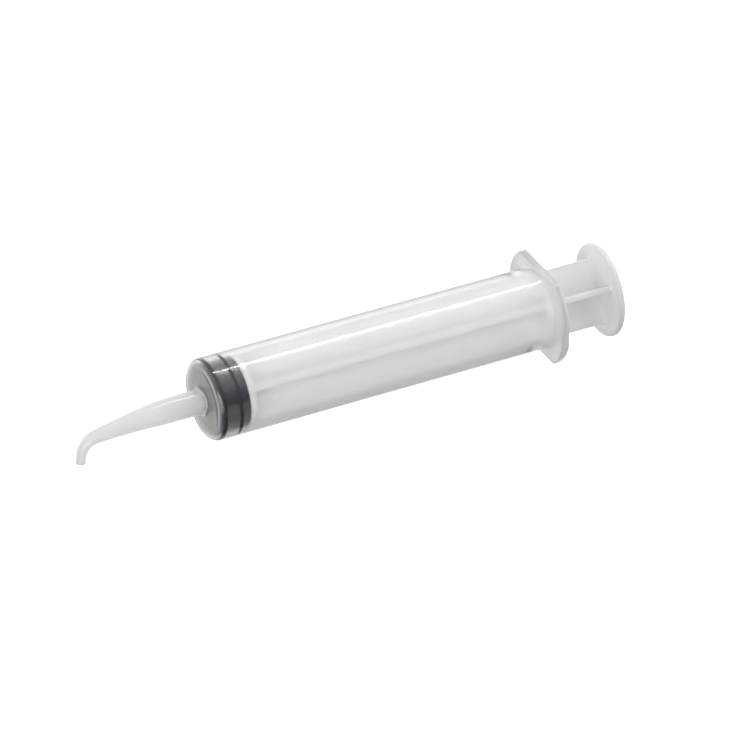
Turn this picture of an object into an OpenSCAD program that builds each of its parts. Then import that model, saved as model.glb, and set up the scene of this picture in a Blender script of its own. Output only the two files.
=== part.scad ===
// Curved tip syringe, 12 mL: a clear barrel moulded in one with its curved tip and
// finger flange, a rubber stopper, and a cross-ribbed plunger rod that snaps into it.
// +X runs along the barrel from the tip to the thumb rest, and +Z is square to the
// flange's flats, with the tip bending down. The origin is on the barrel's axis, at the
// front sealing rib of the stopper when it is pushed home, which is the 0 mL line.

/* [Barrel] */
// Outside diameter of the barrel
barrel_d = 17.6; // [16:0.1:22]
// Wall thickness of the barrel
barrel_wall = 0.9; // [0.7:0.05:1.2]
// Length from the front face to the back of the finger flange
barrel_length = 79.8; // [60:0.1:100]
// Thickness of the front wall that carries the tip
front_wall = 0.9; // [0.7:0.05:1.2]
// Outside radius of the rounded front edge
shoulder_r = 1.8; // [1.4:0.1:2.4]
// Height of the bead inside the bore that keeps the stopper from being pulled out
bead_height = 0.25; // [0.15:0.05:0.35]
// Distance from the back of the flange to the middle of that bead
bead_back = 5.5; // [3:0.1:8]
// Size of the chamfer round the open end of the bore
mouth_chamfer = 0.5; // [0.2:0.05:0.6]

/* [Finger flange] */
// Reach of the flange's round ends beyond the barrel's side
flange_reach = 3.2; // [2.9:0.1:7]
// Reach of the flange's two flats beyond the barrel's side
flat_reach = 1; // [0.9:0.1:2]
// Thickness of the flange
flange_t = 1.7; // [1.2:0.1:2.4]
// Radius of the hollow corner between the barrel and the flange
flange_fillet = 0.6; // [0.4:0.1:1]
// Radius of the flange's rounded edges
flange_edge = 0.3; // [0.2:0.05:0.55]

/* [Curved tip] */
// Outside diameter of the tip at its root
tip_root_d = 5.4; // [4.8:0.1:6.4]
// Outside diameter of the tip at its outlet
tip_end_d = 2.1; // [1.8:0.05:2.6]
// Diameter of the passage at the root of the tip
passage_root_d = 3.2; // [2.4:0.1:3.6]
// Diameter of the outlet
outlet_d = 1; // [0.7:0.05:1.2]
// Length of the straight root, from the front face
tip_root_len = 4.6; // [3:0.1:8]
// Length over which the tip keeps its root diameter, from the front face
tip_full_len = 7.9; // [5:0.1:10]
// Radius of the long gentle bend
gentle_bend_r = 127.5; // [90:1:200]
// Angle of the gentle bend, in degrees
gentle_bend_angle = 8.6; // [5:0.1:11]
// Radius of the tight bend near the outlet
tight_bend_r = 4.25; // [3.5:0.1:7]
// Angle of the tight bend, in degrees
tight_bend_angle = 72.4; // [45:0.1:78]
// Length of the straight end
tip_end_len = 2; // [1.5:0.1:4]
// Radius of the rounded edge at the outlet
tip_edge = 0.25; // [0.1:0.05:0.35]
// Radius of the hollow corner between the front face and the tip
tip_fillet = 1; // [0.5:0.1:1.6]

/* [Stopper] */
// Gap between the sealing ribs and the wall of the bore
seal_gap = 0.04; // [0.02:0.01:0.08]
// Gap between the stopper's nose and the front wall
nose_gap = 0.1; // [0.05:0.05:0.3]
// Length of the nose, ahead of the front sealing rib's middle
nose_len = 0.9; // [0.8:0.05:1.4]
// Distance between the two sealing ribs
rib_pitch = 3.6; // [3:0.1:6]
// Distance from the rear rib's middle to the stopper's back face
tail_len = 2.25; // [1.6:0.05:4]
// Height of a sealing rib above the stopper's body
seal_height = 0.6; // [0.4:0.05:0.8]
// Diameter of the hole in the stopper's back
socket_mouth_d = 6.5; // [5:0.1:7.5]
// Diameter of the chamber that holds the snap head
socket_d = 8.4; // [8:0.1:10]
// Thickness of the rubber lip round the hole
socket_lip = 1.5; // [1:0.1:2]
// Thickness of the rubber between the chamber and the nose's face
nose_t = 2.5; // [1.8:0.1:3]

/* [Plunger rod] */
// Gap between the rod's ribs and the wall of the bore
rib_gap = 0.8; // [0.6:0.1:2]
// Thickness of a rib
rib_t = 1.2; // [0.8:0.05:1.8]
// Length of rod that stands out behind the flange, up to the thumb face, at 0 mL
rod_showing = 14.4; // [12:0.1:30]
// Turn of the ribs about the barrel's axis, in degrees from level
rib_angle = 32.5; // [0:0.5:45]
// Gap between the disc that pushes on the stopper and the wall of the bore
push_disc_gap = 0.7; // [0.5:0.1:2]
// Thickness of that disc
push_disc_t = 1.5; // [1:0.1:2.5]
// Gap all round between the snap head and its socket
snap_gap = 0.05; // [0.03:0.01:0.08]
// Play of the stopper along the snap head
snap_play = 0.1; // [0.05:0.05:0.2]

/* [Thumb rest] */
// Reach of the thumb rest's rim beyond the barrel's side
thumb_reach = 1.45; // [1.2:0.05:3]
// Thickness of the thumb rest at its rim
thumb_t = 1.3; // [1.2:0.1:2]
// Radius of the rim's rounded edges
thumb_edge = 0.55; // [0.3:0.05:0.6]
// Width of the flat ring round the dished thumb face
thumb_ring_w = 1.2; // [0.8:0.1:2]
// Depth of the dish in the thumb face
dish_depth = 0.4; // [0.2:0.05:0.6]
// Radius of the flare where a rib meets the thumb rest
rib_flare_r = 1.2; // [0.8:0.1:2]

/* [Hidden] */

round_fn = 96;
arc_steps = 6;
flare_steps = 10;
sweep_sides = 24;
passage_sides = 16;
gentle_steps = 7;
tight_steps = 14;

// Every cut runs past the face that it opens by this much
overrun = 0.5;
// A swept stretch is this share of the round stretches that it runs into
seam_share = 0.996;
// Softness of the start of the tip's taper, as a share of its length
taper_soft_share = 0.1;
full_turn = 360;

bore_r = barrel_d / 2 - barrel_wall;
nose_x = -nose_len;
bore_front_x = nose_x - nose_gap;
front_x = bore_front_x - front_wall;
barrel_back_x = front_x + barrel_length;
flange_front_x = barrel_back_x - flange_t;
bead_x = barrel_back_x - bead_back;
// The bead rises over this length on either side of its middle
bead_half = 3 * bead_height;
flange_r = barrel_d / 2 + flange_reach;
flat_z = barrel_d / 2 + flat_reach;
bore_corner_r = min(shoulder_r - barrel_wall, nose_len);

seal_r = bore_r - seal_gap;
stopper_r = seal_r - seal_height;
stopper_back_x = rib_pitch + tail_len;
socket_front_x = nose_x + nose_t;
socket_lip_x = stopper_back_x - socket_lip;
socket_taper = (socket_d - socket_mouth_d) / 2;
stopper_edge = seal_height / 2;

push_face_x = stopper_back_x + snap_play;
neck_r = socket_mouth_d / 2 - snap_gap;
head_r = socket_d / 2 - snap_gap;
head_back_x = socket_lip_x - snap_play;
head_front_x = socket_front_x + snap_play;
rod_r = bore_r - rib_gap;
push_disc_r = bore_r - push_disc_gap;
thumb_face_x = barrel_back_x + rod_showing;
thumb_under_x = thumb_face_x - thumb_t;
thumb_ring_r = barrel_d / 2 + thumb_reach - thumb_edge;
dish_r = thumb_ring_r - thumb_ring_w;
// The ribs end halfway through the middle of the thumb rest
rib_end_x = thumb_under_x + (thumb_t - dish_depth) / 2;
// A rib's flare turns by this angle and ends inside the thumb rest
flare_angle = 75;
flare_start_x = (thumb_under_x + rib_end_x) / 2 - rib_flare_r * sin(flare_angle);
flare_end_r = rod_r + rib_flare_r * (1 - cos(flare_angle));

// Points on an arc: centre, radius, first and last angle
function arc(centre, r, from, to, steps = arc_steps) =
    [for (i = [0:steps]) let (a = from + (to - from) * i / steps) centre + r * [cos(a), sin(a)]];

// The tip's middle line bends in the XZ plane. Its direction is the angle below -X.
outlet_angle = gentle_bend_angle + tight_bend_angle;
root_end = [front_x - tip_root_len, 0];
gentle_centre = root_end - [0, gentle_bend_r];
gentle_end = bend_point(gentle_centre, gentle_bend_r, gentle_bend_angle);
tight_centre = gentle_end + tight_bend_r * [sin(gentle_bend_angle), -cos(gentle_bend_angle)];
tight_end = bend_point(tight_centre, tight_bend_r, outlet_angle);
gentle_len = gentle_bend_r * gentle_bend_angle * PI / 180;
tight_len = tight_bend_r * tight_bend_angle * PI / 180;
bend_len = gentle_len + tight_len;
taper_start = tip_full_len - tip_root_len;
// The round end starts this far past the bend, halfway along the sweep's last stretch
end_start = overrun / 2;

// A point on a bend, where the direction is the given angle
function bend_point(centre, r, angle) = centre + r * [-sin(angle), cos(angle)];
// The direction of the middle line
function heading(angle) = [-cos(angle), -sin(angle)];

// The taper runs from 0 at the full root to 1 at the straight end, with a soft start
function soft(u) = (u + sqrt(u * u + taper_soft_share * taper_soft_share)) / 2;
function taper(s) = soft((s - taper_start) / (bend_len - taper_start)) / soft(1);
function tapered(root_r, end_r, s) = seam_share * (root_r + (end_r - root_r) * min(1, taper(s)));

// Stations of a sweep: place, direction and radius. The first and last lie inside the
// round stretches that the sweep runs into.
function stations(root_r, end_r) = concat(
    [[root_end - overrun * heading(0), 0, tapered(root_r, end_r, 0)]],
    [for (i = [0:gentle_steps]) let (a = gentle_bend_angle * i / gentle_steps)
        [bend_point(gentle_centre, gentle_bend_r, a), a,
         tapered(root_r, end_r, gentle_len * i / gentle_steps)]],
    [for (i = [1:tight_steps]) let (a = gentle_bend_angle + tight_bend_angle * i / tight_steps)
        [bend_point(tight_centre, tight_bend_r, a), a,
         tapered(root_r, end_r, gentle_len + tight_len * i / tight_steps)]],
    [[tight_end + overrun * heading(outlet_angle), outlet_angle, seam_share * end_r]]);

function ring(station, sides) = let (p = station[0], a = station[1], r = station[2])
    [for (k = [0:sides - 1]) let (t = full_turn * k / sides)
        [p.x + r * sin(t) * sin(a), r * cos(t), p.y - r * sin(t) * cos(a)]];

// A round bar of changing radius along the tip's middle line
module swept(root_r, end_r, sides) {
    stops = stations(root_r, end_r);
    last = len(stops) - 1;
    points = [for (stop = stops) each ring(stop, sides)];
    walls = [for (i = [0:last - 1], k = [0:sides - 1])
        let (a = i * sides + k, b = i * sides + (k + 1) % sides)
            each [[a, a + sides, b], [b, a + sides, b + sides]]];
    near_cap = [for (k = [0:sides - 1]) k];
    far_cap = [for (k = [sides - 1:-1:0]) last * sides + k];
    polyhedron(points, concat(walls, [near_cap, far_cap]));
}

// A solid turned about the barrel's axis, from [radius, place along X] points
module turned(points) {
    rotate([0, 90, 0]) rotate_extrude($fn = round_fn) polygon(points);
}

// A straight round bar about the barrel's axis
module bar(r, from, to) {
    translate([from, 0, 0]) rotate([0, 90, 0]) cylinder(r = r, h = to - from, $fn = round_fn);
}

// What follows is built along +Z from the end of the tight bend
module at_tip_end() {
    translate([tight_end.x, 0, tight_end.y]) rotate([0, -90 - outlet_angle, 0]) children();
}

module tip_outside() {
    turned(concat(
        [[0, front_x + front_wall / 2], [tip_root_d / 2 + tip_fillet, front_x + front_wall / 2]],
        arc([tip_root_d / 2 + tip_fillet, front_x - tip_fillet], tip_fillet, 90, 180),
        [[tip_root_d / 2, root_end.x], [0, root_end.x]]));
    swept(tip_root_d / 2, tip_end_d / 2, sweep_sides);
    at_tip_end() rotate_extrude($fn = round_fn) polygon(concat(
        [[0, end_start], [tip_end_d / 2, end_start]],
        arc([tip_end_d / 2 - tip_edge, tip_end_len - tip_edge], tip_edge, 0, 90),
        [[0, tip_end_len]]));
}

module tip_passage() {
    bar(passage_root_d / 2, root_end.x, bore_front_x + overrun);
    swept(passage_root_d / 2, outlet_d / 2, passage_sides);
    at_tip_end() translate([0, 0, end_start])
        cylinder(d = outlet_d, h = tip_end_len, $fn = round_fn);
}

module barrel_outside() {
    turned(concat(
        [[0, front_x]],
        arc([barrel_d / 2 - shoulder_r, front_x + shoulder_r], shoulder_r, -90, 0),
        arc([barrel_d / 2 + flange_fillet, flange_front_x - flange_fillet], flange_fillet, 180, 90),
        [[barrel_d / 2 + flange_fillet, flange_front_x + flange_t / 2],
         [barrel_d / 2, barrel_back_x], [0, barrel_back_x]]));
}

// The bore, with the retaining bead near its open end
module bore() {
    turned(concat(
        [[0, bore_front_x]],
        arc([bore_r - bore_corner_r, bore_front_x + bore_corner_r], bore_corner_r, -90, 0),
        [[bore_r, bead_x - bead_half], [bore_r - bead_height, bead_x], [bore_r, bead_x + bead_half],
         [bore_r, barrel_back_x - mouth_chamfer], [bore_r + mouth_chamfer, barrel_back_x],
         [bore_r + mouth_chamfer, barrel_back_x + overrun], [0, barrel_back_x + overrun]]));
}

module flange() {
    intersection() {
        turned(concat(
            [[0, flange_front_x]],
            arc([flange_r - flange_edge, flange_front_x + flange_edge], flange_edge, -90, 0),
            arc([flange_r - flange_edge, barrel_back_x - flange_edge], flange_edge, 0, 90),
            [[0, barrel_back_x]]));
        translate([flange_front_x - overrun, -2 * flange_r, -flat_z])
            cube([flange_t + 2 * overrun, 4 * flange_r, 2 * flat_z]);
    }
}

module barrel() {
    color("gainsboro", 0.5) difference() {
        union() {
            barrel_outside();
            flange();
            tip_outside();
        }
        bore();
        tip_passage();
    }
}

// Outline of one sealing rib: a half round on the stopper's side
function seal(x) = arc([stopper_r, x], seal_height, -90, 90, 2 * arc_steps);

module stopper() {
    color("darkslategray") difference() {
        turned(concat(
            [[0, nose_x]],
            arc([stopper_r - stopper_edge, nose_x + stopper_edge], stopper_edge, -90, 0),
            seal(0), seal(rib_pitch),
            arc([stopper_r - stopper_edge, stopper_back_x - stopper_edge], stopper_edge, 0, 90),
            [[0, stopper_back_x]]));
        turned([[0, socket_front_x], [socket_mouth_d / 2, socket_front_x],
                [socket_d / 2, socket_front_x + socket_taper], [socket_d / 2, socket_lip_x],
                [socket_mouth_d / 2, socket_lip_x], [socket_mouth_d / 2, stopper_back_x + overrun],
                [0, stopper_back_x + overrun]]);
    }
}

// Outline of a rib from its middle outwards, as [place along X, half width]: it flares
// where it runs into the thumb rest
rib_outline = concat(
    [[push_face_x + push_disc_t / 2, rod_r]],
    [for (i = [0:flare_steps]) let (a = flare_angle * i / flare_steps)
        [flare_start_x + rib_flare_r * sin(a), rod_r + rib_flare_r * (1 - cos(a))]],
    [[rib_end_x, flare_end_r]]);

// Two opposite ribs in one plate
module rib_plate() {
    last = len(rib_outline) - 1;
    rotate([90, 0, 0]) linear_extrude(rib_t, center = true) polygon(concat(
        [for (p = rib_outline) [p.x, -p.y]],
        [for (i = [last:-1:0]) rib_outline[i]]));
}

module snap_head() {
    turned([[0, head_front_x], [neck_r, head_front_x], [head_r, head_front_x + socket_taper],
            [head_r, head_back_x], [neck_r, head_back_x],
            [neck_r, push_face_x + push_disc_t / 2], [0, push_face_x + push_disc_t / 2]]);
}

module thumb_rest() {
    turned(concat(
        [[0, thumb_under_x]],
        arc([thumb_ring_r, thumb_under_x + thumb_edge], thumb_edge, -90, 0),
        arc([thumb_ring_r, thumb_face_x - thumb_edge], thumb_edge, 0, 90),
        [[dish_r, thumb_face_x], [dish_r / 2, thumb_face_x - 3 * dish_depth / 4],
         [0, thumb_face_x - dish_depth]]));
}

module plunger_rod() {
    color("white") {
        snap_head();
        bar(push_disc_r, push_face_x, push_face_x + push_disc_t);
        for (turn = [0, 90]) rotate([turn - rib_angle, 0, 0]) rib_plate();
        thumb_rest();
    }
}

barrel();
stopper();
plunger_rod();
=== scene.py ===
"""Curved tip syringe, 12 mL, on a plain white floor.

Three mouldings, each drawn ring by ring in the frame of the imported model: the clear
barrel with its tip and finger flange, the rubber stopper, and the milky plunger rod.
"""

import math

import bmesh
import bpy
from mathutils import Matrix, Vector


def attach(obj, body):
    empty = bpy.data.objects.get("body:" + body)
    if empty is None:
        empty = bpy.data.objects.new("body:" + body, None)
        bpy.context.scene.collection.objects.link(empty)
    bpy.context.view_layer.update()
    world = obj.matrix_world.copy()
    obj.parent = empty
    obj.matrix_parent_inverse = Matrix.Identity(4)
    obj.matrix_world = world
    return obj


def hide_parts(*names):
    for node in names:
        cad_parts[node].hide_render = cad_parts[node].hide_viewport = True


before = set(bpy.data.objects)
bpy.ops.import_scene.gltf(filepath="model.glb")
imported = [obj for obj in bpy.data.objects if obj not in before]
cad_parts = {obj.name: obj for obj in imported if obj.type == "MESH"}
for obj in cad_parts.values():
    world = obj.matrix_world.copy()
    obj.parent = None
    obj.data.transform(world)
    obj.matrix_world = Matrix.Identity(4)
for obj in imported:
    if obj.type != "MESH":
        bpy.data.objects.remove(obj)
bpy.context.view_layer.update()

MM = 0.001
RING_POINTS = 144
# Points this close, in metres, are one
WELD = 1e-7
# Edges sharper than this, in degrees, stay sharp
SHARP_ANGLE = 40
ROD_SHARP_ANGLE = 30
# A face that looks this far along a direction faces that way
FACING = 0.9

# Sizes in millimetres. +X runs along the barrel, from the tip to the thumb rest.
BARREL_R = 8.8
BORE_R = 7.9
FRONT_X = -1.9
BORE_FRONT_X = -1.0
SHOULDER_R = 1.8
BORE_CORNER_R = 0.9
BACK_X = 77.9
TUBE_RINGS = (15, 30, 45, 60)
BEAD_X = 72.4
BEAD_HALF = 2.2
BEAD_HEIGHT = 0.08
MOUTH_CHAMFER = 0.5

FLANGE_R = 12.5
FLANGE_HALF_WIDTH = 12.0
FLANGE_T = 1.7
FLAT_Z = 9.8
FLANGE_EDGE = 0.3
FLANGE_GUARD = FLANGE_EDGE / 6
FLANGE_FILLET = 0.6

TIP_ROOT_R = 2.7
TIP_END_R = 1.05
TIP_FILLET = 1.0
PASSAGE_ROOT_R = 1.6
OUTLET_R = 0.5
TIP_ROOT_LEN = 4.6
TIP_FULL_LEN = 7.9
GENTLE_BEND_R = 127.5
GENTLE_BEND = math.radians(8.6)
TIGHT_BEND_R = 4.25
TIGHT_BEND = math.radians(72.4)
TIP_END_LEN = 2.0
TIP_EDGE = 0.25
OUTLET_LEN = 1.0
TAPER_SOFT = 0.1

# The crests of the sealing ribs reach past the bore, as rubber that is pressed on the wall
STOPPER_R = 7.72
SEAL_CREST_R = 8.05
SEAL_ROUND = 0.45
NOSE_X = -0.9
NOSE_EDGE = 0.5
REAR_SEAL_X = 3.6
STOPPER_BACK_X = 5.85
STOPPER_EDGE = 0.3
SOCKET_MOUTH_R = 3.25
SOCKET_R = 4.2
SOCKET_FRONT_X = 1.6
SOCKET_TAPER = 0.95
SOCKET_LIP_X = 4.35

ROD_R = 7.1
RIB_T = 1.2
RIB_EDGE = 0.2
RIB_ANGLE = math.radians(32.5)
RIB_FLARE_R = 1.2
RIB_FLARE_ANGLE = 75
RIB_FLARE_STEPS = 10
NECK_R = 3.2
HEAD_R = 4.15
HEAD_FRONT_X = 1.7
HEAD_BACK_X = 4.25
PUSH_FACE_X = 5.95
PUSH_DISC_R = 7.2
PUSH_DISC_T = 1.5
DISC_EDGE = 0.2
THUMB_UNDER_X = 91.0
THUMB_FACE_X = 92.3
THUMB_RING_R = 9.7
THUMB_EDGE = 0.55
DISH_R = 8.5
DISH_DEPTH = 0.4
THUMB_CENTRE_R = 0.4
RIB_END_X = 91.45
THUMB_RIM_R = THUMB_RING_R + THUMB_EDGE

# Brightness of the lit paper, as the camera sees it and as the plastic shows it
PAPER_WHITE = 1.05
PAPER_THROUGH_PLASTIC = 0.55
# Refractive index of the barrel, the rod and the rubber
CLEAR_IOR = 1.49
MILKY_IOR = 1.45
RUBBER_IOR = 1.5
# Share of its light that milky plastic lets through
LET_THROUGH = 0.48
# Share of milky body in the clear plastic, where it is thick
TIP_MILK = 0.75
CORNER_MILK = 0.35
# The same share by place along X: tip, corner of the front wall, tube, flange
MILK_ALONG = (
    (-3, TIP_MILK),
    (-2.9, TIP_MILK),
    (-2.0, 0.3),
    (-1.93, 0),
    (-1.85, 0),
    (-1.7, CORNER_MILK),
    (-1.4, CORNER_MILK),
    (-1.2, 0),
    (73.6, 0),
    (75.6, TIP_MILK),
    (79, TIP_MILK),
)
# How far out of the stopper's body the painted shade on the sealing ribs starts, and where it
# covers them fully
RIB_SHADE_START = 0.01
RIB_SHADE_FULL = 0.06

# The soft sky, from its dark side (0) to its middle (1): place and colour
SKY_WAY = (-0.05, 0.38, 0.9)
SKY = ((0.42, "403f38"), (0.6, "898986"), (0.74, "c8c9ca"), (0.92, "ffffff"))
SKY_STRENGTH = 1.28
# Where the lit paper lies beyond the syringe
PAPER_WAY = (0.2, 0.8, -0.5)
FLOOR_SIZE_M = 6
# Name, watts, length and width, place and target of each lamp
LAMPS = (
    ("strip_lamp", 0.36, (240, 26), (165, 98, 400), (165, 0, 0)),
    ("left_lamp", 6.8, (900, 900), (-500, -800, 200), (40, 0, 0)),
    ("right_lamp", 5.4, (900, 900), (880, -500, 100), (40, 0, 0)),
)

# The camera, in metres, fitted to the outlines in the photograph
CAMERA_PLACE = (-0.41192, -0.91012, 0.66786)
CAMERA_AHEAD = (0.36942, 0.74699, -0.55275)
CAMERA_UP = (0.25177, 0.49212, 0.83333)
CAMERA_LENS = 279.36
CAMERA_SENSOR = 36

# Two places this close, in millimetres, are the same
CLOSE = 1e-3
# A ring this far from a rounded edge keeps the shading of the flat beside it flat
GUARD = 0.3


def arc(centre_x, centre_r, radius, start, end, steps=6):
    """Stations (x, radius) on an arc; the angle is 0 straight out and 90 degrees towards +X."""
    angles = [math.radians(start + (end - start) * i / steps) for i in range(steps + 1)]
    return [(centre_x + radius * math.sin(a), centre_r + radius * math.cos(a)) for a in angles]


def level(stations):
    """The same stations on the barrel's own axis: (x, z, radius, slope)."""
    return [(x, 0.0, r, 0.0) for x, r in stations]


def start_ring(name, station, fill="NOTHING"):
    """Adds the first ring of a moulding and leaves it selected in edit mode."""
    bpy.ops.object.select_all(action="DESELECT")
    x, z, radius, _ = station
    bpy.ops.mesh.primitive_circle_add(
        vertices=RING_POINTS,
        radius=radius * MM,
        fill_type=fill,
        location=(x * MM, 0, z * MM),
        rotation=(0, math.pi / 2, 0),
    )
    piece = bpy.context.object
    piece.name = name
    bpy.ops.object.transform_apply(location=True, rotation=True, scale=True)
    bpy.ops.object.mode_set(mode="EDIT")
    bpy.ops.mesh.select_all(action="SELECT")
    return piece


def draw_rings(stations, extrude):
    """Draws the wall on through every station after the first."""
    for (x0, z0, r0, slope0), (x1, z1, r1, slope1) in zip(stations, stations[1:]):
        extrude(TRANSFORM_OT_translate={"value": ((x1 - x0) * MM, 0, (z1 - z0) * MM)})
        middle = (x1 * MM, 0, z1 * MM)
        if r1 != r0:
            bpy.ops.transform.resize(value=(r1 / r0,) * 3, center_override=middle)
        if slope1 != slope0:
            bpy.ops.transform.rotate(
                value=slope1 - slope0, orient_axis="Y", center_override=middle
            )


def pick(kind, test):
    """Selects the vertices, edges or faces that pass the test, and nothing else."""
    bpy.ops.mesh.select_mode(type=kind)
    bpy.ops.mesh.select_all(action="DESELECT")
    mesh = bmesh.from_edit_mesh(bpy.context.object.data)
    for part in {"VERT": mesh.verts, "EDGE": mesh.edges, "FACE": mesh.faces}[kind]:
        if test(part):
            part.select_set(True)
    mesh.select_flush_mode()
    bmesh.update_edit_mesh(bpy.context.object.data)


def close_mesh(piece, sharp_angle=SHARP_ANGLE):
    """Closes the seam, turns the faces outwards and smooths all but the sharp edges."""
    bpy.ops.mesh.select_all(action="SELECT")
    bpy.ops.mesh.remove_doubles(threshold=WELD)
    bpy.ops.mesh.normals_make_consistent(inside=False)
    bpy.ops.object.mode_set(mode="OBJECT")
    smooth(piece, sharp_angle)
    return piece


def smooth(piece, sharp_angle):
    """Shades the piece smooth, with its sharp edges kept."""
    bpy.ops.object.select_all(action="DESELECT")
    piece.select_set(True)
    bpy.context.view_layer.objects.active = piece
    bpy.ops.object.shade_smooth_by_angle(angle=math.radians(sharp_angle))


def turned(name, stations):
    """A solid turned on the barrel's axis, closed by a flat face at both ends."""
    piece = start_ring(name, level(stations)[0], fill="NGON")
    draw_rings(level(stations), bpy.ops.mesh.extrude_region_move)
    return close_mesh(piece)


def bend(share_from_root):
    """Place and slope of the tip's middle line, and its share of the taper."""
    gentle = GENTLE_BEND_R * GENTLE_BEND
    tight = TIGHT_BEND_R * TIGHT_BEND
    run = share_from_root * (gentle + tight)
    root = Vector((FRONT_X - TIP_ROOT_LEN, 0))
    slope = min(run, gentle) / GENTLE_BEND_R
    place = root + GENTLE_BEND_R * Vector((-math.sin(slope), math.cos(slope) - 1))
    if run > gentle:
        turn = (run - gentle) / TIGHT_BEND_R
        place += TIGHT_BEND_R * Vector(
            (
                math.sin(slope) - math.sin(slope + turn),
                math.cos(slope + turn) - math.cos(slope),
            )
        )
        slope += turn
    start = TIP_FULL_LEN - TIP_ROOT_LEN
    along = (run - start) / (gentle + tight - start)

    def soft(u):
        return (u + math.sqrt(u * u + TAPER_SOFT * TAPER_SOFT)) / 2

    return place, slope, min(1.0, soft(along) / soft(1))


def bent(root_r, end_r, steps=44):
    """Stations round both bends, from the straight root to the straight end."""
    gentle_share = GENTLE_BEND_R * GENTLE_BEND
    gentle_share /= gentle_share + TIGHT_BEND_R * TIGHT_BEND
    half = steps // 2
    shares = [gentle_share * i / half for i in range(half)]
    shares += [gentle_share + (1 - gentle_share) * i / half for i in range(half + 1)]
    found = []
    for share in shares:
        place, slope, taper = bend(share)
        found.append((place.x, place.y, root_r + (end_r - root_r) * taper, slope))
    return found


def past_bend(stations):
    """Stations (length past the bend, radius) along the tip's straight end."""
    place, slope, _ = bend(1)
    return [
        (place.x - s * math.cos(slope), place.y - s * math.sin(slope), r, slope)
        for s, r in stations
    ]


def make_barrel():
    """One closed wall: out round the flange, along the tube and the tip, and back inside."""
    rim_r = FLANGE_R - FLANGE_EDGE
    flange_front = BACK_X - FLANGE_T
    flange_rings = [(BACK_X, rim_r - FLANGE_GUARD)]
    flange_rings += arc(BACK_X - FLANGE_EDGE, rim_r, FLANGE_EDGE, 90, 0)
    flange_rings += arc(flange_front + FLANGE_EDGE, rim_r, FLANGE_EDGE, 0, -90)
    flange_rings += [(flange_front, rim_r - FLANGE_GUARD)]
    outside = [(BACK_X, BORE_R + MOUTH_CHAMFER)] + flange_rings
    fillet_x = flange_front - FLANGE_FILLET
    outside += arc(fillet_x, BARREL_R + FLANGE_FILLET, FLANGE_FILLET, 90, 180)
    shoulder_x = FRONT_X + SHOULDER_R
    guards = (fillet_x - GUARD, shoulder_x + GUARD)
    outside += [(x, BARREL_R) for x in (guards[0], *TUBE_RINGS[::-1], guards[1])]
    outside += arc(shoulder_x, BARREL_R - SHOULDER_R, SHOULDER_R, 0, -90, steps=14)
    tip_x = FRONT_X - TIP_FILLET
    outside += arc(tip_x, TIP_ROOT_R + TIP_FILLET, TIP_FILLET, 90, 180, steps=8)
    outside += [(tip_x - GUARD, TIP_ROOT_R)]
    rounding = arc(TIP_END_LEN - TIP_EDGE, TIP_END_R - TIP_EDGE, TIP_EDGE, 0, 90)
    passage = [(TIP_END_LEN, OUTLET_R), (TIP_END_LEN - OUTLET_LEN, OUTLET_R)]
    inside = [(BORE_FRONT_X, PASSAGE_ROOT_R)]
    corner_x = BORE_FRONT_X + BORE_CORNER_R
    inside += arc(corner_x, BORE_R - BORE_CORNER_R, BORE_CORNER_R, -90, 0)
    inside += [(x, BORE_R) for x in (corner_x + GUARD, *TUBE_RINGS)]
    inside += [
        (BEAD_X + BEAD_HALF * t, BORE_R - BEAD_HEIGHT * (1 + math.cos(math.pi * t)) / 2)
        for t in (i / 4 for i in range(-4, 5))
    ]
    inside += [(BACK_X - MOUTH_CHAMFER, BORE_R), outside[0]]
    stations = (
        level(outside)
        + bent(TIP_ROOT_R, TIP_END_R)
        + past_bend(rounding + passage)
        + bent(PASSAGE_ROOT_R, OUTLET_R)[::-1]
        + level(inside)
    )
    barrel = start_ring("barrel_skin", stations[0])
    draw_rings(stations, bpy.ops.mesh.extrude_edges_move)
    for x, r in flange_rings:
        inset = FLANGE_R - r
        flatten_flange(x, r, 2, FLAT_Z - inset)
        flatten_flange(x, r, 1, FLANGE_HALF_WIDTH - inset)
    return close_mesh(barrel)


def flatten_flange(x, radius, axis, reach):
    """Moves both ends of one flange ring back to the flange's reach along Y (1) or Z (2)."""
    scale = [1, 1, 1]
    scale[axis] = 0
    for side in (1, -1):
        middle = [0, 0, 0]
        middle[axis] = side * reach * MM

        def beyond_reach(vertex):
            place = vertex.co / MM
            off_ring = abs(math.hypot(place.y, place.z) - radius)
            on_ring = abs(place.x - x) < CLOSE and off_ring < CLOSE
            return on_ring and side * place[axis] > reach

        pick("VERT", beyond_reach)
        bpy.ops.transform.resize(value=scale, center_override=middle)


def make_stopper():
    """The rubber, from its nose over two sealing ribs to the socket in its back."""
    outline = arc(NOSE_X + NOSE_EDGE, STOPPER_R - NOSE_EDGE, NOSE_EDGE, -90, 0)
    seal_r = SEAL_CREST_R - SEAL_ROUND
    half_turn = math.degrees(math.acos((STOPPER_R - seal_r) / SEAL_ROUND))
    for x in (0.0, REAR_SEAL_X):
        outline += arc(x, seal_r, SEAL_ROUND, -half_turn, half_turn, steps=20)
    back_edge = (STOPPER_BACK_X - STOPPER_EDGE, STOPPER_R - STOPPER_EDGE)
    outline += arc(*back_edge, STOPPER_EDGE, 0, 90)
    outline += [
        (STOPPER_BACK_X, SOCKET_MOUTH_R),
        (SOCKET_LIP_X, SOCKET_MOUTH_R),
        (SOCKET_LIP_X, SOCKET_R),
        (SOCKET_FRONT_X + SOCKET_TAPER, SOCKET_R),
        (SOCKET_FRONT_X, SOCKET_MOUTH_R),
    ]
    return turned("stopper_rubber", outline)


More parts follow.
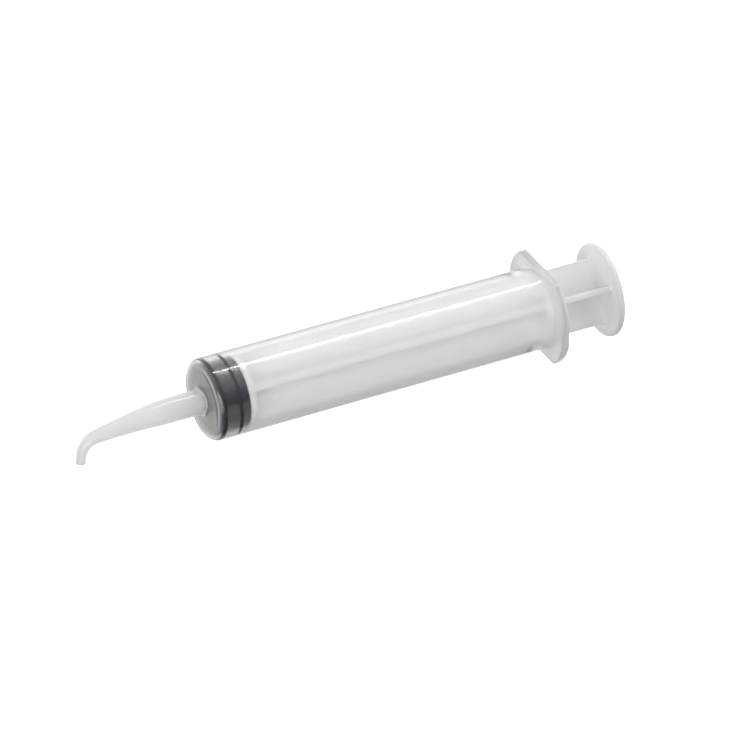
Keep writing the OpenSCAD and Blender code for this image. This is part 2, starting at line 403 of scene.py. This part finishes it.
def make_cross(name):
    """Four ribs in a cross, that flare where they run into the thumb rest."""
    flare_end_x = (THUMB_UNDER_X + RIB_END_X) / 2
    flare_x = flare_end_x - RIB_FLARE_R * math.sin(math.radians(RIB_FLARE_ANGLE))
    stations = [(PUSH_FACE_X + PUSH_DISC_T / 2, ROD_R)]
    for i in range(RIB_FLARE_STEPS + 1):
        a = math.radians(RIB_FLARE_ANGLE * i / RIB_FLARE_STEPS)
        stations.append(
            (flare_x + RIB_FLARE_R * math.sin(a), ROD_R + RIB_FLARE_R * (1 - math.cos(a)))
        )
    stations.append((RIB_END_X, stations[-1][1]))
    bpy.ops.object.select_all(action="DESELECT")
    bpy.ops.mesh.primitive_plane_add(
        size=RIB_T * MM, location=(stations[0][0] * MM, 0, 0), rotation=(0, math.pi / 2, 0)
    )
    cross = bpy.context.object
    cross.name = name
    bpy.ops.object.transform_apply(location=True, rotation=True, scale=True)
    bpy.ops.object.mode_set(mode="EDIT")
    bpy.ops.mesh.select_all(action="SELECT")
    for (x0, _), (x1, _) in zip(stations, stations[1:]):
        bpy.ops.mesh.extrude_region_move(
            TRANSFORM_OT_translate={"value": ((x1 - x0) * MM, 0, 0)}
        )
    bpy.ops.mesh.select_all(action="SELECT")
    bpy.ops.mesh.normals_make_consistent(inside=False)
    core = RIB_T / 2
    for way in (Vector((0, 1, 0)), Vector((0, -1, 0)), Vector((0, 0, 1)), Vector((0, 0, -1))):

        def on_core(face):
            middle = face.calc_center_median() / MM
            return face.normal.dot(way) > FACING and math.hypot(*middle.yz) < core + CLOSE

        pick("FACE", on_core)
        bpy.ops.mesh.extrude_region_move(
            TRANSFORM_OT_translate={"value": way * (ROD_R - core) * MM}
        )
        for x, reach in stations:
            if reach > ROD_R:
                pick(
                    "VERT",
                    lambda vertex: abs(vertex.co.x / MM - x) < CLOSE
                    and vertex.co.dot(way) / MM > ROD_R - CLOSE,
                )
                bpy.ops.transform.translate(value=way * (reach - ROD_R) * MM)
    pick("EDGE", is_rib_edge)
    bpy.ops.mesh.bevel(offset=RIB_EDGE * MM, segments=3)
    return close_mesh(cross, ROD_SHARP_ANGLE)


def is_rib_edge(edge):
    """True for the long outer edges of the four ribs."""
    a, b = (v.co / MM for v in edge.verts)
    outside = all(max(abs(p.y), abs(p.z)) > ROD_R - CLOSE for p in (a, b))
    return outside and abs(a.x - b.x) > CLOSE


def make_rod():
    """The cross of ribs, with the thumb rest and the snap head melted on."""
    head = [(HEAD_FRONT_X, NECK_R), (HEAD_FRONT_X + HEAD_R - NECK_R, HEAD_R)]
    head += [(HEAD_BACK_X, HEAD_R), (HEAD_BACK_X, NECK_R), (PUSH_FACE_X, NECK_R)]
    head += arc(PUSH_FACE_X + DISC_EDGE, PUSH_DISC_R - DISC_EDGE, DISC_EDGE, -90, 0, steps=3)
    head += [(PUSH_FACE_X + PUSH_DISC_T, PUSH_DISC_R)]
    thumb = [(THUMB_UNDER_X, THUMB_CENTRE_R)]
    thumb += arc(THUMB_UNDER_X + THUMB_EDGE, THUMB_RING_R, THUMB_EDGE, -90, 0, steps=10)
    thumb += arc(THUMB_FACE_X - THUMB_EDGE, THUMB_RING_R, THUMB_EDGE, 0, 90, steps=10)
    dish_radii = [share * DISH_R for share in (1, 0.8, 0.6, 0.4, 0.2)] + [THUMB_CENTRE_R]
    thumb += [(THUMB_FACE_X - DISH_DEPTH * (1 - (r / DISH_R) ** 2), r) for r in dish_radii]
    rod = make_cross("plunger_rod_moulding")
    for part in (turned("thumb_blank", thumb), turned("head_blank", head)):
        unite(rod, part)
    rod.rotation_euler.x = -RIB_ANGLE
    bpy.ops.object.transform_apply(location=False, rotation=True, scale=False)
    smooth(rod, ROD_SHARP_ANGLE)
    return rod


def unite(piece, part):
    """Melts one part into the moulding, so that the rod is one solid."""
    bpy.ops.object.select_all(action="DESELECT")
    bpy.context.view_layer.objects.active = piece
    piece.select_set(True)
    join = piece.modifiers.new("union", "BOOLEAN")
    join.operation = "UNION"
    join.solver = "EXACT"
    join.object = part
    bpy.ops.object.modifier_apply(modifier=join.name)
    bpy.data.objects.remove(part)


def linear(hex_colour):
    """An sRGB hex colour as linear RGBA."""
    parts = [int(hex_colour[i : i + 2], 16) / 255 for i in (0, 2, 4)]
    return [
        c / 12.92 if c <= 0.04045 else ((c + 0.055) / 1.055) ** 2.4 for c in parts
    ] + [1]


def add_node(tree, kind, settings=None, links=None):
    """Adds a node, sets its sockets or properties, and links its inputs."""
    node = tree.nodes.new(kind)
    for name, value in (settings or {}).items():
        if isinstance(name, int) or name in node.inputs:
            node.inputs[name].default_value = value
        else:
            setattr(node, name, value)
    for name, source in (links or {}).items():
        tree.links.new(source, node.inputs[name])
    return node


def new_material(name):
    """A material without nodes, and its node tree."""
    material = bpy.data.materials.new(name)
    material.use_nodes = True
    material.node_tree.nodes.clear()
    return material, material.node_tree


def per_metre(size_mm):
    """Texture scale that gives a pattern of about this size."""
    return 1 / (size_mm * MM)


def milky_body(tree, tint):
    """What thick polypropylene sends back and lets through, both soft."""
    back = add_node(tree, "ShaderNodeBsdfDiffuse", {}, {"Color": tint})
    on = add_node(tree, "ShaderNodeBsdfTranslucent", {}, {"Color": tint})
    return add_node(
        tree, "ShaderNodeMixShader", {0: LET_THROUGH}, {1: back.outputs[0], 2: on.outputs[0]}
    ).outputs[0]


def clear_polypropylene():
    """Natural polypropylene, injection moulded in a polished mould: the thin wall is
    see-through with a faint haze, and the thick tip and flange look milky."""
    material, tree = new_material("natural_polypropylene_moulded")
    place = add_node(tree, "ShaderNodeTexCoord").outputs["Object"]
    along = add_node(tree, "ShaderNodeSeparateXYZ", {}, {0: place}).outputs["X"]
    first_x, last_x = MILK_ALONG[0][0], MILK_ALONG[-1][0]
    share = add_node(
        tree,
        "ShaderNodeMapRange",
        {"From Min": first_x * MM, "From Max": last_x * MM},
        {"Value": along},
    ).outputs[0]
    thick = add_node(tree, "ShaderNodeValToRGB", {}, {0: share})
    stops = thick.color_ramp.elements
    stops[0].color = (MILK_ALONG[0][1],) * 3 + (1,)
    stops[1].color = (MILK_ALONG[-1][1],) * 3 + (1,)
    for x, milk in MILK_ALONG[1:-1]:
        stops.new((x - first_x) / (last_x - first_x)).color = (milk,) * 3 + (1,)
    # Haze gathers in soft clouds about 6 mm across
    clouds = add_node(
        tree, "ShaderNodeTexNoise", {"Scale": per_metre(6), "Detail": 3}, {"Vector": place}
    ).outputs[0]
    haze = add_node(
        tree,
        "ShaderNodeMapRange",
        {"From Min": 0.3, "From Max": 0.7, "To Min": 0.006, "To Max": 0.016},
        {"Value": clouds},
    ).outputs[0]
    milk = add_node(
        tree, "ShaderNodeMath", {"operation": "MAXIMUM"}, {0: thick.outputs[0], 1: haze}
    ).outputs[0]
    clear_tint = add_node(
        tree,
        "ShaderNodeMix",
        {"data_type": "RGBA", 6: linear("f8f8f8"), 7: linear("fcfcfc")},
        {0: clouds},
    ).outputs[2]
    milk_tint = add_node(
        tree,
        "ShaderNodeMix",
        {"data_type": "RGBA", 6: linear("cbcbcc"), 7: linear("d4d4d4")},
        {0: clouds},
    ).outputs[2]
    # The plastic's crystals spread the light that goes through the thin wall
    through = add_node(
        tree,
        "ShaderNodeBsdfRefraction",
        {"Roughness": 0.28, "IOR": CLEAR_IOR},
        {"Color": clear_tint},
    ).outputs[0]
    inside = add_node(
        tree, "ShaderNodeMixShader", {}, {0: milk, 1: through, 2: milky_body(tree, milk_tint)}
    ).outputs[0]
    # The mould's polish leaves a waviness of about 4 mm that only the gloss shows
    waves = add_node(
        tree, "ShaderNodeTexNoise", {"Scale": per_metre(4)}, {"Vector": place}
    ).outputs[0]
    swell = add_node(
        tree, "ShaderNodeBump", {"Strength": 0.005, "Distance": 0.1 * MM}, {"Height": waves}
    ).outputs[0]
    gloss = add_node(
        tree,
        "ShaderNodeBsdfGlossy",
        {"Color": linear("ffffff"), "Roughness": 0.04},
        {"Normal": swell},
    ).outputs[0]
    mirrored = add_node(
        tree, "ShaderNodeFresnel", {"IOR": CLEAR_IOR}, {"Normal": swell}
    ).outputs[0]
    plastic = add_node(
        tree, "ShaderNodeMixShader", {}, {0: mirrored, 1: inside, 2: gloss}
    ).outputs[0]
    # Light reaches the rod and stopper through the wall
    lamp_ray = add_node(tree, "ShaderNodeLightPath").outputs["Is Shadow Ray"]
    open_way = add_node(
        tree, "ShaderNodeBsdfTransparent", {"Color": linear("fbfbfb")}
    ).outputs[0]
    surface = add_node(
        tree, "ShaderNodeMixShader", {}, {0: lamp_ray, 1: plastic, 2: open_way}
    ).outputs[0]
    add_node(tree, "ShaderNodeOutputMaterial", {}, {"Surface": surface})
    return material


def milky_polypropylene():
    """White polypropylene, injection moulded in a satin mould: milky, so that light goes
    through the ribs and softens every shade, with a soft sheen."""
    material, tree = new_material("milky_polypropylene_moulded")
    place = add_node(tree, "ShaderNodeTexCoord").outputs["Object"]
    # Faint flow marks about 5 mm across
    flow = add_node(
        tree,
        "ShaderNodeTexNoise",
        {"Scale": per_metre(5), "Detail": 4, "Roughness": 0.6},
        {"Vector": place},
    ).outputs[0]
    tint = add_node(
        tree,
        "ShaderNodeMix",
        {"data_type": "RGBA", 6: linear("eeeeee"), 7: linear("f4f4f3")},
        {0: flow},
    ).outputs[2]
    # The satin mould leaves a fine grain
    grain = add_node(
        tree, "ShaderNodeTexNoise", {"Scale": per_metre(0.35)}, {"Vector": place}
    ).outputs[0]
    skin = add_node(
        tree, "ShaderNodeBump", {"Strength": 0.05, "Distance": 0.05 * MM}, {"Height": grain}
    ).outputs[0]
    gloss = add_node(
        tree,
        "ShaderNodeBsdfGlossy",
        {"Color": linear("ffffff"), "Roughness": 0.2},
        {"Normal": skin},
    ).outputs[0]
    mirrored = add_node(
        tree, "ShaderNodeFresnel", {"IOR": MILKY_IOR}, {"Normal": skin}
    ).outputs[0]
    surface = add_node(
        tree, "ShaderNodeMixShader", {}, {0: mirrored, 1: milky_body(tree, tint), 2: gloss}
    ).outputs[0]
    add_node(tree, "ShaderNodeOutputMaterial", {}, {"Surface": surface})
    return material


def stopper_rubber():
    """Moulded synthetic rubber, oiled so that it slides: dark blue grey, with the crests of the
    sealing ribs painted near-black: painted shade where they press on the wall and show no
    reflection."""
    material, tree = new_material("oiled_rubber_moulded")
    place = add_node(tree, "ShaderNodeTexCoord").outputs["Object"]
    parts = add_node(tree, "ShaderNodeSeparateXYZ", {}, {0: place})
    across = add_node(
        tree,
        "ShaderNodeCombineXYZ",
        {},
        {"Y": parts.outputs["Y"], "Z": parts.outputs["Z"]},
    ).outputs[0]
    radius = add_node(
        tree, "ShaderNodeVectorMath", {"operation": "LENGTH"}, {0: across}
    ).outputs["Value"]
    # The sealing ribs stand out of the body; their crests get painted shade, near-black and
    # rougher, where they press on the wall and show no reflection
    painted_rib_shade = add_node(
        tree,
        "ShaderNodeMapRange",
        {"From Min": (STOPPER_R + RIB_SHADE_START) * MM, "From Max": (STOPPER_R + RIB_SHADE_FULL) * MM},
        {"Value": radius},
    ).outputs[0]
    grain = add_node(
        tree, "ShaderNodeTexNoise", {"Scale": per_metre(0.5), "Detail": 4}, {"Vector": place}
    ).outputs[0]
    body = add_node(
        tree,
        "ShaderNodeMix",
        {"data_type": "RGBA", 6: linear("0e121b"), 7: linear("171d2a")},
        {0: grain},
    ).outputs[2]
    # The crests of the sealing ribs are mixed to near-black: painted shade, not a darker rubber
    tint = add_node(
        tree,
        "ShaderNodeMix",
        {"data_type": "RGBA", 7: linear("020203")},
        {0: painted_rib_shade, 6: body},
    ).outputs[2]
    roughness = add_node(
        tree, "ShaderNodeMapRange", {"To Min": 0.3, "To Max": 0.7}, {"Value": painted_rib_shade}
    ).outputs[0]
    skin = add_node(
        tree, "ShaderNodeBump", {"Strength": 0.15, "Distance": 0.05 * MM}, {"Height": grain}
    ).outputs[0]
    rubber = add_node(
        tree,
        "ShaderNodeBsdfPrincipled",
        {"IOR": RUBBER_IOR},
        {"Base Color": tint, "Roughness": roughness, "Normal": skin},
    ).outputs[0]
    add_node(tree, "ShaderNodeOutputMaterial", {}, {"Surface": rubber})
    return material


def dress(piece, material, node, body):
    """Gives a piece its material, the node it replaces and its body."""
    piece.data.materials.clear()
    piece.data.materials.append(material)
    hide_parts(node)
    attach(piece, body)


def area_light(name, watts, size, place, target):
    """A lamp with its long side along the barrel, that shines from place to target."""
    bpy.ops.object.light_add(type="AREA", location=[c * MM for c in place])
    lamp = bpy.context.object
    lamp.name = name
    lamp.data.energy = watts
    lamp.data.shape = "RECTANGLE"
    lamp.data.size, lamp.data.size_y = (s * MM for s in size)
    away = (Vector(place) - Vector(target)).normalized()
    across = away.cross((1, 0, 0)).normalized()
    turn = Matrix((across.cross(away), across, away)).transposed()
    lamp.rotation_euler = turn.to_euler()


def light_studio():
    """A wide soft light above and behind, a dim room in front, a strip lamp for the line of
    light along the barrel, and a large lamp at either side."""
    world = bpy.data.worlds.new("studio")
    bpy.context.scene.world = world
    world.use_nodes = True
    tree = world.node_tree
    tree.nodes.clear()
    way = add_node(tree, "ShaderNodeTexCoord").outputs["Generated"]
    towards_sky = Vector(SKY_WAY).normalized()
    above = add_node(
        tree, "ShaderNodeVectorMath", {"operation": "DOT_PRODUCT", 1: towards_sky}, {0: way}
    ).outputs["Value"]
    height = add_node(
        tree, "ShaderNodeMapRange", {"From Min": -1, "From Max": 1}, {"Value": above}
    ).outputs[0]
    ramp = add_node(tree, "ShaderNodeValToRGB", {}, {0: height})
    low, high = ramp.color_ramp.elements
    for stop, (position, colour) in ((low, SKY[0]), (high, SKY[-1])):
        stop.position, stop.color = position, linear(colour)
    for position, colour in SKY[1:-1]:
        ramp.color_ramp.elements.new(position).color = linear(colour)
    sky = add_node(
        tree, "ShaderNodeBackground", {"Strength": SKY_STRENGTH}, {"Color": ramp.outputs[0]}
    ).outputs[0]
    # The lit paper beyond the syringe, which the plastic's edges show
    towards_paper = Vector(PAPER_WAY).normalized()
    beyond = add_node(
        tree, "ShaderNodeVectorMath", {"operation": "DOT_PRODUCT", 1: towards_paper}, {0: way}
    ).outputs["Value"]
    strength = add_node(
        tree, "ShaderNodeMapRange", {"From Min": 0.3, "From Max": 0.85}, {"Value": beyond}
    ).outputs[0]
    paper = add_node(
        tree, "ShaderNodeBackground", {"Color": linear("fffefa")}, {"Strength": strength}
    ).outputs[0]
    glow = add_node(tree, "ShaderNodeAddShader", {}, {0: sky, 1: paper}).outputs[0]
    # Seen straight, the backdrop is the same white as the paper
    backdrop = add_node(
        tree, "ShaderNodeBackground", {"Color": linear("ffffff"), "Strength": PAPER_WHITE}
    ).outputs[0]
    seen = add_node(tree, "ShaderNodeLightPath").outputs["Is Camera Ray"]
    studio = add_node(
        tree, "ShaderNodeMixShader", {}, {0: seen, 1: glow, 2: backdrop}
    ).outputs[0]
    add_node(tree, "ShaderNodeOutputWorld", {}, {"Surface": studio})
    for lamp in LAMPS:
        area_light(*lamp)


def lay_floor():
    """White paper under the thumb rest, which the camera sees as pure white."""
    bpy.ops.mesh.primitive_plane_add(size=FLOOR_SIZE_M, location=(0, 0, -THUMB_RIM_R * MM))
    floor = bpy.context.object
    floor.name = "floor"
    material, tree = new_material("white_paper")
    # The paper is lit to pure white, and less so where it shows through the plastic
    seen = add_node(tree, "ShaderNodeLightPath").outputs["Is Camera Ray"]
    glow = add_node(
        tree,
        "ShaderNodeMapRange",
        {"To Min": PAPER_THROUGH_PLASTIC, "To Max": PAPER_WHITE},
        {"Value": seen},
    ).outputs[0]
    paper = add_node(
        tree,
        "ShaderNodeBsdfPrincipled",
        {"Base Color": linear("808080"), "Roughness": 0.9, "Emission Color": linear("ffffff")},
        {"Emission Strength": glow},
    ).outputs[0]
    add_node(tree, "ShaderNodeOutputMaterial", {}, {"Surface": paper})
    floor.data.materials.append(material)
    floor.visible_diffuse = False
    floor.visible_glossy = False
    floor.visible_shadow = False


def set_camera():
    bpy.ops.object.camera_add(location=CAMERA_PLACE)
    camera = bpy.context.object
    camera.name = "camera"
    ahead = Vector(CAMERA_AHEAD).normalized()
    right = ahead.cross(Vector(CAMERA_UP).normalized()).normalized()
    up = right.cross(ahead)
    turn = Matrix((right, up, -ahead)).transposed()
    camera.rotation_euler = turn.to_euler()
    camera.data.sensor_width = CAMERA_SENSOR
    camera.data.lens = CAMERA_LENS
    camera.data.clip_start, camera.data.clip_end = 0.05, 20
    bpy.context.scene.camera = camera


dress(make_barrel(), clear_polypropylene(), "barrel", "barrel")
dress(make_stopper(), stopper_rubber(), "stopper", "stopper")
dress(make_rod(), milky_polypropylene(), "plunger_rod", "rod")
light_studio()
lay_floor()
set_camera()
bpy.context.scene.view_settings.view_transform = "Standard"
